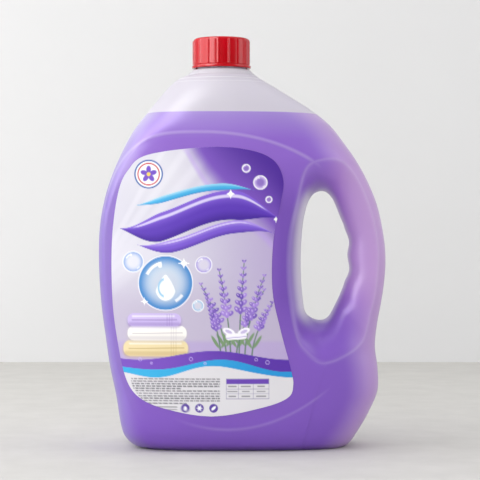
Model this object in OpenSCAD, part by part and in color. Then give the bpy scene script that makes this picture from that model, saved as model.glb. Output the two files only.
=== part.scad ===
// Three litre laundry detergent bottle with a hollow side handle.
// X runs from the label side towards the handle, Y from the front label to the back, Z up.
// The origin lies under the middle of the bottle, on the surface that it stands on.

/* [Bottle body] */
// Width over the body and the handle
body_w = 209.4; // [190:0.1:230]
// Height of the shoulder, where the neck finish starts
shoulder_h = 270.5; // [245:0.5:300]
// Depth of the body between its front and back label panels
panel_depth = 92; // [84:1:104]
// Fullest depth that the body would have without its panels
full_depth = 99; // [96:1:112]
// Radius of the curved label panels
panel_r = 400; // [300:10:700]
// Wall thickness of the blown shell
wall = 1.3; // [0.8:0.1:2.2]
// Height of the hollow under the base
push_up = 3.5; // [1:0.5:6]
// Width of the ring that the base stands on
stand_w = 7; // [4:0.5:12]
// Width of the slope from that ring up to the hollow
slope_w = 5; // [3:0.5:8]

/* [Handle] */
// Width of the hand hole
eye_w = 35.5; // [28:0.5:40]
// Height of the hand hole
eye_h = 94; // [80:0.5:104]
// Height of the hand hole's middle
eye_z = 139; // [128:0.5:148]
// Thickness of the grip, from the hand hole to the back of the handle
grip_t = 27.3; // [24:0.1:34]
// Depth of the finger wave in the grip
grip_wave = 0.7; // [0:0.1:1.5]
// Distance from one finger wave to the next
finger_pitch = 20; // [18:0.5:24]
// Width of the slanted flank between the label panel and the hand hole
flank_w = 9.5; // [6:0.5:14]
// Reach of the finger scoop above the hand hole
scoop_top = 22; // [14:0.5:28]
// Reach of the finger scoop below the hand hole
scoop_bottom = 29; // [18:0.5:36]
// Width of the band left along the back of the handle
band_w = 7.3; // [5:0.1:10]

/* [Neck and thread] */
// Distance of the neck's axis from the middle, towards the label side
neck_off = 16; // [8:0.1:24]
// Diameter of the shoulder's round top
ring_d = 50; // [47:0.5:56]
// Width of the ledge between the shoulder and the collar
ledge_w = 0.6; // [0.4:0.1:1.5]
// Diameter of the collar's top
collar_d = 42.4; // [40:0.1:45]
// Diameter of the neck under the thread
neck_d = 35.2; // [30:0.1:35.4]
// Diameter of the pouring bore
bore_d = 30.6; // [24:0.1:31.2]
// Height of the neck above the shoulder
neck_h = 23.5; // [23:0.1:28]
// Rise of the thread in one turn
pitch = 4.2; // [3.6:0.1:5]
// Height of the thread's ridge
ridge_h = 1.1; // [0.7:0.1:1.3]
// Width of the ridge at its foot
ridge_w = 2.3; // [1.6:0.1:2.4]
// Width of the ridge at its crest
ridge_top_w = 0.9; // [0.5:0.1:1.2]
// Turns of thread on the neck
neck_turns = 1.75; // [1:0.25:2]
// Plain height left above the thread
lip_h = 2.4; // [1.5:0.1:4]

/* [Cap] */
// Outer diameter of the cap between its ribs
cap_d = 41.2; // [41:0.1:48]
// Height of the cap
cap_h = 21.9; // [20:0.1:22.5]
// Thickness of the cap's top
cap_top_t = 1.6; // [1:0.1:2.5]
// Number of gripping ribs round the cap
rib_count = 17; // [12:1:30]
// Height of the gripping ribs
rib_h = 0.5; // [0.3:0.1:1]
// Width of a rib at its foot
rib_w = 1.6; // [1.2:0.1:3]
// Width of a rib at its crest
rib_top_w = 0.8; // [0.6:0.1:1.6]
// Height of the bead round the cap's lower edge
bead_h = 2; // [1:0.1:3]
// Reach of the bead beyond the ribs
bead_out = 0.5; // [0.5:0.1:1.5]
// Rounding of the cap's top edge
cap_round = 2.4; // [1:0.1:3]
// Turns of thread inside the cap
cap_turns = 1.25; // [0.75:0.25:1.5]
// Thickness of the sealing liner
liner_t = 1.2; // [0.8:0.1:2]

/* [Contents and label] */
// Height of the detergent's surface
fill_h = 241.6; // [150:0.1:252]
// Thickness of the label film
label_t = 0.2; // [0.15:0.05:0.4]
// Width of the label at its widest
label_w = 128.5; // [110:0.5:131]
// Height of the label
label_h = 190; // [150:1:194]

/* [Hidden] */

// Clearances between the pieces
thread_clear = 0.4;
liner_clear = 0.4;
seat_gap = 0.3;
cap_gap = 1.2;
fill_gap = 0.25;
label_gap = 0.05;

// Soft edge of the label panels, small edges of the neck and cap, and how deep a thread's ridge is sunk in its wall
panel_soft = 1.6;
edge_r = 0.4;
weld = 0.3;
// Least depth by which a label panel is cut into the body
panel_cut = 2;
// Half depth at which the ends of the base and of the shoulder's top come to their full form
rim_fade = 20;

neck_x = -neck_off;
panel_h = panel_depth / 2;
full_h = max(full_depth / 2, panel_h + panel_cut);
ring_r = ring_d / 2;
root_r = neck_d / 2;
crest_r = root_r + ridge_h;
cap_bore_r = crest_r + thread_clear;
finish_z = shoulder_h + neck_h;
liner_z = finish_z + seat_gap;
cap_top_z = liner_z + liner_t + seat_gap + cap_top_t;
cap_z = cap_top_z - cap_h;
collar_z = cap_z - cap_gap;
eye_x = body_w / 2 - grip_t - eye_w / 2;

// Half depth of the body along its height: [share of the shoulder's height, share of full_depth / 2]
// The last rows close in on the round shoulder ring.
depth_rows = [
    [0, 0.64], [0.012, 0.765], [0.03, 0.845], [0.06, 0.905], [0.12, 0.957], [0.3, 0.99], [0.5, 1],
    [0.7, 0.995], [0.78, 0.975], [0.83, 0.935], [0.88, 0.868], [0.93, 0.775], [0.97, 0.65]];

// Outline of the label side in the front view, from the base up to the shoulder's round top:
// [share of body_w / 2 towards the label side, share of the shoulder's height]
left_net = [
    [0.695, 0], [0.764, 0.008], [0.822, 0.033], [0.849, 0.068], [0.877, 0.141], [0.919, 0.22], [0.95, 0.302],
    [0.98, 0.393], [0.995, 0.495], [0.99, 0.586], [0.958, 0.661], [0.906, 0.727], [0.833, 0.793], [0.758, 0.848],
    [0.665, 0.897], [0.58, 0.939], [0.52, 0.967], [0.457, 0.988]];

// Outline of the handle side, from the base up: [share of body_w / 2, share of the shoulder's height]
right_net = [
    [0.705, 0], [0.752, 0.016], [0.816, 0.053], [0.88, 0.096], [0.938, 0.151], [0.938, 0.21], [0.92, 0.266],
    [0.932, 0.322], [0.961, 0.383], [0.985, 0.444], [0.994, 0.505], [0.981, 0.565], [0.941, 0.641], [0.882, 0.702],
    [0.8, 0.762], [0.703, 0.816], [0.605, 0.864], [0.479, 0.904], [0.346, 0.937], [0.217, 0.968], [0.13, 0.988]];

// Hand hole, clockwise in the front view from its bottom: shares of eye_w and eye_h from its middle
eye_net = [
    [-0.155, -0.5], [-0.385, -0.45], [-0.455, -0.33], [-0.495, -0.1], [-0.48, 0.12], [-0.42, 0.31],
    [-0.284, 0.455], [-0.05, 0.5], [0.15, 0.445], [0.335, 0.285], [0.46, 0.165], [0.485, 0.02],
    [0.475, -0.14], [0.37, -0.25], [0.235, -0.365], [0.06, -0.48]];

// Edge of the finger scoop, point for point with the hand hole: shares of the scoop's own width and height
scoop_net = [
    [-0.065, -0.5], [-0.25, -0.455], [-0.395, -0.375], [-0.493, -0.157], [-0.495, 0.06], [-0.405, 0.255],
    [-0.28, 0.445], [-0.07, 0.495], [0.14, 0.49], [0.295, 0.4], [0.437, 0.22], [0.5, 0.023],
    [0.478, -0.157], [0.42, -0.282], [0.342, -0.407], [0.138, -0.477]];

// Places on the handle side's outline and the hand hole's points that face them
facing = [
    [0, 15.1], [2, 14.75], [4.5, 14.1], [6, 13.7], [7, 13.2], [8, 12.6], [9.5, 11.7], [11, 10.7],
    [13, 9.6], [15, 8.7], [16.5, 8], [18, 7.3], [21, 6.3]];

// Label, clockwise in the front view from its bottom: shares of label_w and label_h from its middle
label_net = [
    [0.06, -0.5], [-0.19, -0.475], [-0.34, -0.435], [-0.418, -0.367], [-0.465, -0.235], [-0.497, -0.067],
    [-0.5, 0.15], [-0.467, 0.326], [-0.41, 0.415], [-0.3, 0.472], [0.03, 0.5], [0.25, 0.49],
    [0.39, 0.452], [0.445, 0.378], [0.43, 0.29], [0.39, 0.15], [0.385, -0.03], [0.43, -0.18],
    [0.485, -0.32], [0.5, -0.385], [0.47, -0.432], [0.33, -0.468]];
label_x = -29;
label_z = 121;

// Squareness of the horizontal section: [share of the shoulder's height, superellipse exponent]
square_left = [[0, 3], [0.12, 4.5], [0.6, 5], [0.8, 4.4], [0.9, 3.1], [1, 2]];
square_right = [[0, 2.8], [0.14, 2.25], [0.33, 2.1], [0.7, 2.15], [0.78, 2.4], [0.88, 2.3], [1, 2]];

// Columns round the hand hole on each side of the outline, and rows across a section
base_cols = 9;
left_cols = 18;
neck_cols = 6;
right_cols = 28;
scoop_rows = 5;
panel_rows = 4;
round_rows = 5;
edge_rows = 3;

// The hand hole's points that face the left end of the base and of the shoulder's top
base_left_at = 2.1;
neck_left_at = 5.7;

// Point t of a smooth curve through the points of net; an open one stops at its ends
function bend(a, b, c, d, t) =
    0.5 * (2 * b + (c - a) * t + (2 * a - 5 * b + 4 * c - d) * t * t + (3 * b - a - 3 * c + d) * t * t * t);
function ring_point(net, t) =
    let (n = len(net), k = floor(t), f = t - k)
    bend(net[(k + 2 * n - 1) % n], net[(k + 2 * n) % n], net[(k + 2 * n + 1) % n], net[(k + 2 * n + 2) % n], f);
function open_point(net, t) =
    let (n = len(net), k = min(floor(t), n - 2), f = t - k)
    bend(net[max(k - 1, 0)], net[k], net[k + 1], net[min(k + 2, n - 1)], f);
function mix(a, b, t) = a + (b - a) * t;
function smooth(t) = let (c = min(max(t, 0), 1)) c * c * (3 - 2 * c);

// Front view outline points of both sides, with the shoulder ring's own ends last
function side_net(net, way) = concat(
    [for (p = net) [way * p[0] * body_w / 2, p[1] * shoulder_h]],
    [[neck_x + way * ring_r, shoulder_h]]);
left_side = side_net(left_net, -1);
right_side = side_net(right_net, 1);
function samples(net, n) = [for (i = [0:n]) open_point(net, i / n * (len(net) - 1))];
left_line = samples(left_side, left_cols);
right_line = samples(right_side, right_cols);
left_table = [for (p = left_line) [p[1], p[0]]];
right_table = [for (p = right_line) [p[1], p[0]]];
depth_table = concat([for (r = depth_rows) [r[0] * shoulder_h, r[1] * full_h]], [[shoulder_h, ring_r]]);
depth_curve = [for (i = [0:60]) open_point(depth_table, i / 60 * (len(depth_table) - 1))];

// Half depth of the body at a point of the front view: a superellipse in each horizontal section,
// cut by the curved label panel with a soft edge
function panel(x) = sqrt(panel_r * panel_r - pow(x - neck_x, 2)) - panel_r + panel_h;
function loft(x, z) =
    let (left = x < neck_x,
         reach = abs(lookup(z, left ? left_table : right_table) - neck_x),
         n = lookup(z / shoulder_h, left ? square_left : square_right),
         part = min(abs(x - neck_x) / reach, 1))
    lookup(z, depth_curve) * pow(1 - pow(part, n), 1 / n);
function half_depth(x, z) =
    let (a = loft(x, z), b = panel(x), soft = max(panel_soft - abs(a - b), 0))
    min(a, b) - soft * soft / (4 * panel_soft);

// Columns: [outline point, place along the hand hole]
base_right_at = facing[0][1] - len(eye_net);
neck_right_at = facing[len(facing) - 1][1];
last_right = len(right_side) - 1;
columns = concat(
    [for (i = [0:base_cols - 1]) let (f = i / base_cols)
        [mix(right_line[0], left_line[0], f), mix(base_right_at, base_left_at, f)]],
    [for (i = [0:left_cols - 1]) [left_line[i], mix(base_left_at, neck_left_at, i / left_cols)]],
    [for (i = [0:neck_cols - 1]) let (f = i / neck_cols)
        [mix(left_line[left_cols], right_line[right_cols], f), mix(neck_left_at, neck_right_at, f)]],
    [for (i = [0:right_cols - 1]) let (k = right_cols - i)
        [right_line[k], lookup(k / right_cols * last_right, facing)]]);

// Edge of the hand hole, with the finger wave, and the outer edge of the scoop round it
function eye_edge(t) =
    let (p = ring_point(eye_net, t), z = p[1] * eye_h,
         wave = grip_wave * smooth((p[0] - 0.3) / 0.15) * smooth((0.27 - abs(p[1])) / 0.1))
    [eye_x + p[0] * eye_w - wave * cos(360 * z / finger_pitch), eye_z + z];
function scoop_edge(t) =
    let (p = ring_point(scoop_net, t), right = grip_t - band_w)
    [eye_x + p[0] * (eye_w + 2 * (p[0] < 0 ? flank_w : right)),
     eye_z + p[1] * (eye_h + 2 * (p[1] < 0 ? scoop_bottom : scoop_top))];

// How squarely the scoop turns at the hand hole's edge: round on the grip, slanted on the flank
function turn(t) = let (p = ring_point(eye_net, t)) mix(1.5, 2.3, smooth(p[0] + 0.5));

// Share of the way from the scoop to the outline at which the label panel ends
function crease(c, a = 0, b = 1, k = 9) =
    let (m = (a + b) / 2, p = mix(scoop_edge(c[1]), c[0], m))
    k == 0 ? m : loft(p[0], p[1]) > panel(p[0]) ? crease(c, m, b, k - 1) : crease(c, a, m, k - 1);
function rim(c) = half_depth(c[0][0], c[0][1]);
function corner_share(c) = mix(0.96, 1, smooth(rim(c) / rim_fade));

// Points of half a section, from the hand hole's edge round to the outline
function scoop_point(c, j) =
    let (t = pow(j / scoop_rows, 1.7), n = turn(c[1]), s = scoop_edge(c[1]), p = mix(eye_edge(c[1]), s, t))
    [p[0], half_depth(s[0], s[1]) * pow(1 - pow(1 - t, n), 1 / n), p[1]];
function share_point(c, f) =
    let (p = mix(scoop_edge(c[1]), c[0], f)) [p[0], half_depth(p[0], p[1]), p[1]];
// Across the base lie the standing ring, the step up to the hollow and the hollow itself
function edge_point(c, j) =
    let (p = share_point(c, 1 - (1 - corner_share(c)) * pow(1 - j / edge_rows, 2)), r = rim(c),
         inset = [0, min(stand_w, r / 3), min(stand_w + slope_w, 2 * r / 3), r][j],
         lift = c[0][1] < label_gap && j > 1 ? push_up * smooth(2 * r / rim_fade - 1) : 0)
    [p[0], p[1] - inset, p[2] + lift];

half_rows = scoop_rows + panel_rows + round_rows + edge_rows;
function half_section(c) = let (m = min(max(crease(c), 0.12), 0.93), last = corner_share(c)) concat(
    [for (j = [0:scoop_rows - 1]) scoop_point(c, j)],
    [for (j = [0:panel_rows - 1]) share_point(c, m * j / panel_rows)],
    [for (j = [0:round_rows - 1]) share_point(c, last - (last - m) * pow(1 - j / round_rows, 1.3))],
    [for (j = [0:edge_rows]) edge_point(c, j)]);
// A whole section: the front half, then the back half on the way home
function section(c) = let (h = half_section(c)) concat(
    [for (p = h) [p[0], -p[1], p[2]]],
    [for (j = [half_rows - 1:-1:1]) h[j]]);

skin = [for (c = columns) section(c)];
n_cols = len(skin);
n_rows = 2 * half_rows;
function unit(v) = v / max(norm(v), 1e-9);
function inward(i, j) =
    let (a = skin[(i + 1) % n_cols][j], b = skin[(i + n_cols - 1) % n_cols][j],
         c = skin[i][(j + 1) % n_rows], d = skin[i][(j + n_rows - 1) % n_rows])
    unit(cross(c - d, a - b));
normals = [for (i = [0:n_cols - 1]) [for (j = [0:n_rows - 1]) inward(i, j)]];

// The closed surface of the body, moved inwards by depth
module body_skin(depth) {
    points = [for (i = [0:n_cols - 1]) for (j = [0:n_rows - 1]) skin[i][j] + depth * normals[i][j]];
    faces = [
        for (i = [0:n_cols - 1]) for (j = [0:n_rows - 1])
            let (a = i * n_rows + j, b = ((i + 1) % n_cols) * n_rows + j,
                 c = ((i + 1) % n_cols) * n_rows + (j + 1) % n_rows, d = i * n_rows + (j + 1) % n_rows)
            each [[a, c, b], [a, d, c]]];
    polyhedron(points, faces);
}

// A helical ridge: its foot lies at foot_r, its crest at top_r, and its ends fade into the wall
module ridge(foot_r, top_r, turns, low_z) {
    steps = round(turns * 24);
    sink = foot_r > top_r ? weld : -weld;
    deep = foot_r + sink;
    high = [for (i = [0:steps]) min(1, i / 3, (steps - i) / 3)];
    points = [for (i = [0:steps])
        let (a = i * 15, z = low_z + i / 24 * pitch, tip = mix(deep - sink / 6, top_r, high[i]))
        for (q = [[deep, -ridge_w], [tip, -ridge_top_w], [tip, ridge_top_w], [deep, ridge_w]])
            [q[0] * cos(a), q[0] * sin(a), z + q[1] / 2 * mix(0.5, 1, high[i])]];
    sides = [for (i = [0:steps - 1]) for (k = [0:3])
        let (a = i * 4 + k, b = i * 4 + (k + 1) % 4) each [[a, b, b + 4], [a, b + 4, a + 4]]];
    last = steps * 4;
    faces = concat(sides, [[0, 2, 1], [0, 3, 2], [last, last + 1, last + 2], [last, last + 2, last + 3]]);
    polyhedron(points, top_r > foot_r ? faces : [for (f = faces) [f[0], f[2], f[1]]]);
}
neck_thread_z = finish_z - lip_h - neck_turns * pitch;

// Blown shell: body, hollow handle and threaded neck in one piece
module bottle() {
    foot_r = ring_r - ledge_w;
    collar_r = collar_d / 2;
    color([0.95, 0.93, 0.97, 0.6])
    difference() {
        union() {
            body_skin(0);
            translate([neck_x, 0, 0]) {
                rotate_extrude($fn = 72)
                polygon([
                    [0, shoulder_h - wall / 2], [foot_r, shoulder_h - wall / 2], [foot_r, shoulder_h + edge_r],
                    [collar_r, collar_z - edge_r], [collar_r - edge_r, collar_z], [root_r + 2 * edge_r, collar_z],
                    [root_r, collar_z + 2 * edge_r], [root_r, finish_z - edge_r], [root_r - edge_r, finish_z],
                    [0, finish_z]]);
                ridge(root_r, crest_r, neck_turns, neck_thread_z);
            }
        }
        body_skin(wall);
        translate([neck_x, 0, 0]) {
            rotate_extrude($fn = 72)
            polygon([
                [0, shoulder_h - 2 * wall], [foot_r - wall, shoulder_h - 2 * wall], [foot_r - wall, shoulder_h],
                [collar_r - 1.3 * wall, collar_z - wall], [0, collar_z - wall]]);
            translate([0, 0, shoulder_h]) cylinder(r = bore_d / 2, h = 2 * neck_h, $fn = 72);
        }
    }
}

// Liquid inside the shell, up to its level surface
module detergent() {
    color([0.60, 0.47, 0.80])
    intersection() {
        body_skin(wall + fill_gap);
        translate([-body_w, -body_w, 0]) cube([2 * body_w, 2 * body_w, fill_h]);
    }
}

// Film label that follows the front panel's curve
module front_label() {
    outline = [for (i = [0:len(label_net) * 3 - 1]) let (p = ring_point(label_net, i / 3))
        [label_x + p[0] * label_w, label_z + p[1] * label_h]];
    r = panel_r + label_gap;
    color([0.86, 0.84, 0.95])
    intersection() {
        rotate([90, 0, 0]) linear_extrude(full_h) polygon(outline);
        translate([neck_x, panel_r - panel_h, 0])
        difference() {
            cylinder(r = r + label_t, h = shoulder_h, $fn = 360);
            translate([0, 0, -wall]) cylinder(r = r, h = shoulder_h + 2 * wall, $fn = 360);
        }
    }
}

// Screw cap with gripping ribs, a bead round its lower edge and a thread inside
module screw_cap() {
    r = cap_d / 2;
    step = 360 / rib_count;
    side = r + rib_h + bead_out;
    deg = 90 / (PI * r);
    grip = [for (k = [0:rib_count - 1])
        for (q = [[-rib_w, 0], [-rib_top_w, rib_h], [rib_top_w, rib_h], [rib_w, 0]])
            let (a = k * step - 95.7 + q[0] * deg) [(r + q[1]) * cos(a), (r + q[1]) * sin(a)]];
    color([0.75, 0.05, 0.1])
    translate([neck_x, 0, cap_z])
    difference() {
        union() {
            intersection() {
                translate([0, 0, edge_r]) linear_extrude(cap_h) polygon(grip);
                rotate_extrude($fn = 72)
                polygon([[0, 0], [side, 0], [side, cap_h / 2], [r + rib_h + edge_r, cap_h - 1.3 * cap_round],
                    [r + 0.3 * rib_h, cap_h - 0.6 * cap_round], [r - 0.4 * cap_round, cap_h - cap_round / 6],
                    [r - cap_round, cap_h], [0, cap_h]]);
            }
            rotate_extrude($fn = 72)
            polygon([[0, 0], [side - edge_r, 0], [side, edge_r], [side, bead_h - edge_r],
                [side - edge_r, bead_h], [0, bead_h]]);
        }
        translate([0, 0, -cap_h]) cylinder(r = cap_bore_r, h = 2 * cap_h - cap_top_t, $fn = 72);
    }
    // The ridge runs midway between the turns of the neck's ridge
    color([0.75, 0.05, 0.1])
    translate([neck_x, 0, 0])
    ridge(cap_bore_r, root_r + thread_clear, cap_turns, neck_thread_z - pitch / 2);
}

// Foam disc that seals the cap against the neck
module cap_liner() {
    color([0.97, 0.97, 0.95])
    translate([neck_x, 0, liner_z]) cylinder(r = cap_bore_r - liner_clear, h = liner_t, $fn = 72);
}

bottle();
detergent();
front_label();
screw_cap();
cap_liner();
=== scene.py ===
import math

import bmesh
import bpy
import numpy as np
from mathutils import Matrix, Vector


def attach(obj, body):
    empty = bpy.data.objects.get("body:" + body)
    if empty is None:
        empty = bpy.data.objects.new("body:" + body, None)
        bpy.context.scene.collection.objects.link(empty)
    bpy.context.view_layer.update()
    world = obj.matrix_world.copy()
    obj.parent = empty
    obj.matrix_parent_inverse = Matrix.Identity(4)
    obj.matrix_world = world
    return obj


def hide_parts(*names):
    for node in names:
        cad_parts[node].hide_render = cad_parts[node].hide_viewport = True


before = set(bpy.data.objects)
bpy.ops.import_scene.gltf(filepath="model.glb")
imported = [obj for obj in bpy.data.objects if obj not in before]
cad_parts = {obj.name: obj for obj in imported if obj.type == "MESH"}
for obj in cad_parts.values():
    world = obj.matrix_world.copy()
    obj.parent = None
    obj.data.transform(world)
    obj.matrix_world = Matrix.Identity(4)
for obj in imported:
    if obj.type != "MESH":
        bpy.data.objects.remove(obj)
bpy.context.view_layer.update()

MM = 0.001
scene = bpy.context.scene

# Sizes of the bottle in millimetres and degrees, and shares, as in the part's source
BODY_W, SHOULDER_H = 209.4, 270.5
PANEL_H, FULL_H, PANEL_R, PANEL_SOFT = 46.0, 49.5, 400.0, 1.6
EDGE_SHARE, EDGE_FADE = 0.96, 20.0
WALL, STAND_W, PUSH_UP, PUSH_FROM, PUSH_SLOPE = 1.3, 7.0, 3.5, 10.0, 5.0
EYE_W, EYE_H, EYE_Z = 35.5, 94.0, 139.0
FINGER_PITCH, FLANK_TURN, GRIP_TURN = 20.0, 1.5, 2.3
GRIP_T, GRIP_WAVE, FLANK_W, SCOOP_TOP, SCOOP_BOTTOM, BAND_W = 27.3, 0.7, 9.5, 22.0, 29.0, 7.3
NECK_X, RING_R, ROOT_R, BORE_R, NECK_H = -16.0, 25.0, 17.6, 15.3, 23.5
LEDGE_W, COLLAR_R, LIP_H, CAP_GAP = 0.6, 21.2, 2.4, 1.2
PITCH, RIDGE_H, NECK_TURNS, CAP_TURNS = 4.2, 1.1, 1.75, 1.25
RIDGE_W, RIDGE_SINK, RIDGE_FADE, THREAD_CLEAR = 2.3, 0.25, 40.0, 0.4
CAP_R, CAP_H, CAP_TOP_T, CAP_LEAD_W, CAP_LEAD_H = 20.6, 21.9, 1.6, 0.25, 0.4
RIBS, RIB_H, RIB_HALF_W, RIB_START, FACET_SHARE = 17, 0.5, 1.7, -95.7, 0.12
LINER_T, LINER_CLEAR, SEAT_GAP, FILL_GAP, LABEL_GAP, LABEL_T = 1.2, 0.4, 0.3, 0.25, 0.05, 0.2
FILL_H = 241.6
LABEL_W, LABEL_H, LABEL_X, LABEL_Z = 128.5, 190.0, -29.0, 121.0
FINISH_Z = SHOULDER_H + NECK_H
LINER_Z = FINISH_Z + SEAT_GAP
CAP_Z = LINER_Z + LINER_T + SEAT_GAP + CAP_TOP_T - CAP_H
CAP_BORE_R = ROOT_R + RIDGE_H + THREAD_CLEAR
EYE_X = BODY_W / 2 - GRIP_T - EYE_W / 2

# Share of the height, and share of FULL_H that the body's half depth is there
DEPTH = [
    [0, 0.64], [0.012, 0.765], [0.03, 0.845], [0.06, 0.905], [0.12, 0.957], [0.3, 0.99], [0.5, 1],
    [0.7, 0.995], [0.78, 0.975], [0.83, 0.935], [0.88, 0.868], [0.93, 0.775], [0.97, 0.65],
    [1, RING_R / FULL_H]]
# The front view's two outlines, as shares of half the width and of the height
LEFT = [
    [0.695, 0], [0.764, 0.008], [0.822, 0.033], [0.849, 0.068], [0.877, 0.141], [0.919, 0.22],
    [0.95, 0.302], [0.98, 0.393], [0.995, 0.495], [0.99, 0.586], [0.958, 0.661], [0.906, 0.727],
    [0.833, 0.793], [0.758, 0.848], [0.665, 0.897], [0.58, 0.939], [0.52, 0.967], [0.457, 0.988]]
RIGHT = [
    [0.705, 0], [0.752, 0.016], [0.816, 0.053], [0.88, 0.096], [0.938, 0.151], [0.938, 0.21],
    [0.92, 0.266], [0.932, 0.322], [0.961, 0.383], [0.985, 0.444], [0.994, 0.505], [0.981, 0.565],
    [0.941, 0.641], [0.882, 0.702], [0.8, 0.762], [0.703, 0.816], [0.605, 0.864], [0.479, 0.904],
    [0.346, 0.937], [0.217, 0.968], [0.13, 0.988]]
# Edges of the hand hole and of the scoop round it, as shares of their widths and heights
EYE = [
    [-0.155, -0.5], [-0.385, -0.45], [-0.455, -0.33], [-0.495, -0.1], [-0.48, 0.12], [-0.42, 0.31],
    [-0.284, 0.455], [-0.05, 0.5], [0.15, 0.445], [0.335, 0.285], [0.46, 0.165], [0.485, 0.02],
    [0.475, -0.14], [0.37, -0.25], [0.235, -0.365], [0.06, -0.48]]
SCOOP = [
    [-0.065, -0.5], [-0.25, -0.455], [-0.395, -0.375], [-0.493, -0.157], [-0.495, 0.06], [-0.405, 0.255],
    [-0.28, 0.445], [-0.07, 0.495], [0.14, 0.49], [0.295, 0.4], [0.437, 0.22], [0.5, 0.023],
    [0.478, -0.157], [0.42, -0.282], [0.342, -0.407], [0.138, -0.477]]
# Points of RIGHT by number, and the point of EYE that each faces
FACING = [
    [0, 15.1], [2, 14.75], [4.5, 14.1], [6, 13.7], [7, 13.2], [8, 12.6], [9.5, 11.7], [11, 10.7],
    [13, 9.6], [15, 8.7], [16.5, 8], [18, 7.3], [21, 6.3]]
# The label's edge, as shares of its width and height
LABEL = [
    [0.06, -0.5], [-0.19, -0.475], [-0.34, -0.435], [-0.418, -0.367], [-0.465, -0.235], [-0.497, -0.067],
    [-0.5, 0.15], [-0.467, 0.326], [-0.41, 0.415], [-0.3, 0.472], [0.03, 0.5], [0.25, 0.49],
    [0.39, 0.452], [0.445, 0.378], [0.43, 0.29], [0.39, 0.15], [0.385, -0.03], [0.43, -0.18],
    [0.485, -0.32], [0.5, -0.385], [0.47, -0.432], [0.33, -0.468]]
# Share of the height, and squareness of the level section on that side of the neck's axis
SQUARE_LEFT = [[0, 3], [0.12, 4.5], [0.6, 5], [0.8, 4.4], [0.9, 3.1], [1, 2]]
SQUARE_RIGHT = [[0, 2.8], [0.14, 2.25], [0.33, 2.1], [0.7, 2.15], [0.78, 2.4], [0.88, 2.3], [1, 2]]
# Places on EYE that the left ends of the base and of the neck face
BASE_LEFT_AT, NECK_LEFT_AT = 2.1, 5.7


# Curves and meshes

def curve(net, t, closed=False):
    """Points at t on the smooth curve through net: from point to point it is the cubic whose slope at each
    is half the step between its neighbours."""
    net, t = np.asarray(net, float), np.asarray(t, float)
    n = len(net)
    k = np.floor(t).astype(int)
    if closed:
        a, b, c, d = (net[(k + i) % n] for i in (-1, 0, 1, 2))
    else:
        k = np.clip(k, 0, n - 2)
        a, b, c, d = (net[np.clip(k + i, 0, n - 1)] for i in (-1, 0, 1, 2))
    f = (t - k)[..., None]
    return 0.5 * (2 * b + (c - a) * f + (2 * a - 5 * b + 4 * c - d) * f ** 2
                  + (3 * b - a - 3 * c + d) * f ** 3)


def smooth(t):
    """0 below 0, 1 above 1, and the cubic 3tt - 2ttt between."""
    t = np.clip(t, 0, 1)
    return t * t * (3 - 2 * t)


def mix(a, b, t):
    """a at t 0, b at t 1, straight between."""
    return a + (b - a) * t


def grid_faces(nu, nv, close_u=False, close_v=False, flip=False):
    """Four-cornered faces of a grid of nu by nv points, numbered row by row and closed where asked."""
    u = np.arange(nu if close_u else nu - 1)[:, None]
    v = np.arange(nv if close_v else nv - 1)
    u1, v1 = (u + 1) % nu, (v + 1) % nv
    quads = np.stack([u * nv + v, u * nv + v1, u1 * nv + v1, u1 * nv + v], -1).reshape(-1, 4)
    return quads[:, ::-1] if flip else quads


def make_mesh(name, points, quads, sharp=False):
    """A mesh object from points in millimetres and four-cornered faces, smooth unless sharp."""
    me = bpy.data.meshes.new(name)
    me.vertices.add(len(points))
    me.vertices.foreach_set("co", (np.asarray(points, float) * MM).ravel())
    me.loops.add(quads.size)
    me.loops.foreach_set("vertex_index", quads.ravel().astype(np.int32))
    me.polygons.add(len(quads))
    me.polygons.foreach_set("loop_start", np.arange(0, quads.size, 4, dtype=np.int32))
    me.polygons.foreach_set("use_smooth", np.full(len(quads), not sharp))
    me.update(calc_edges=True)
    me.validate()
    ob = bpy.data.objects.new(name, me)
    scene.collection.objects.link(ob)
    return ob


def join_grids(name, parts):
    """One object from several (points, quads) pairs, each a sheet of its own."""
    points, quads, first = [], [], 0
    for p, q in parts:
        points.append(p)
        quads.append(q + first)
        first += len(p)
    return make_mesh(name, np.concatenate(points), np.concatenate(quads))


def add_value(ob, name, values):
    """A number for each point of the mesh, for its material to read."""
    at = ob.data.attributes.new(name, "FLOAT", "POINT")
    at.data.foreach_set("value", np.asarray(values, np.float32))


def points_of(ob):
    """The mesh's points in millimetres."""
    co = np.empty(len(ob.data.vertices) * 3)
    ob.data.vertices.foreach_get("co", co)
    return co.reshape(-1, 3) / MM


def round_neck(angle, r, z):
    """Points at an angle round the neck's axis, at radius r and height z."""
    return np.stack([NECK_X + r * np.cos(angle), r * np.sin(angle), z + 0 * angle], -1).reshape(-1, 3)


def revolve(profile, steps, flip=False):
    """A profile of (radius, height) turned round the neck's axis, each point on its own circle."""
    r, z = np.transpose(profile)
    a = np.linspace(0, 2 * np.pi, steps, endpoint=False)[:, None]
    return round_neck(a, r, z), grid_faces(steps, len(r), close_u=True, flip=flip)


def rounded(corners, radius, steps=5):
    """A profile with its inner corners rounded: each corner c becomes (1-t)(1-t)a + 2t(1-t)c + ttb between
    points a and b that lie radius, at most 0.45 of the side, away along its sides."""
    c = np.asarray(corners, float)
    out = [c[:1]]
    t = np.linspace(0, 1, steps)[:, None]
    for before, at, after in zip(c, c[1:], c[2:]):
        sides = before - at, after - at
        r = min(radius, *(0.45 * np.linalg.norm(side) for side in sides))
        a, b = (at + side / np.linalg.norm(side) * r for side in sides)
        out.append((1 - t) ** 2 * a + 2 * t * (1 - t) * at + t ** 2 * b)
    out.append(c[-1:])
    return np.concatenate(out)


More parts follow.
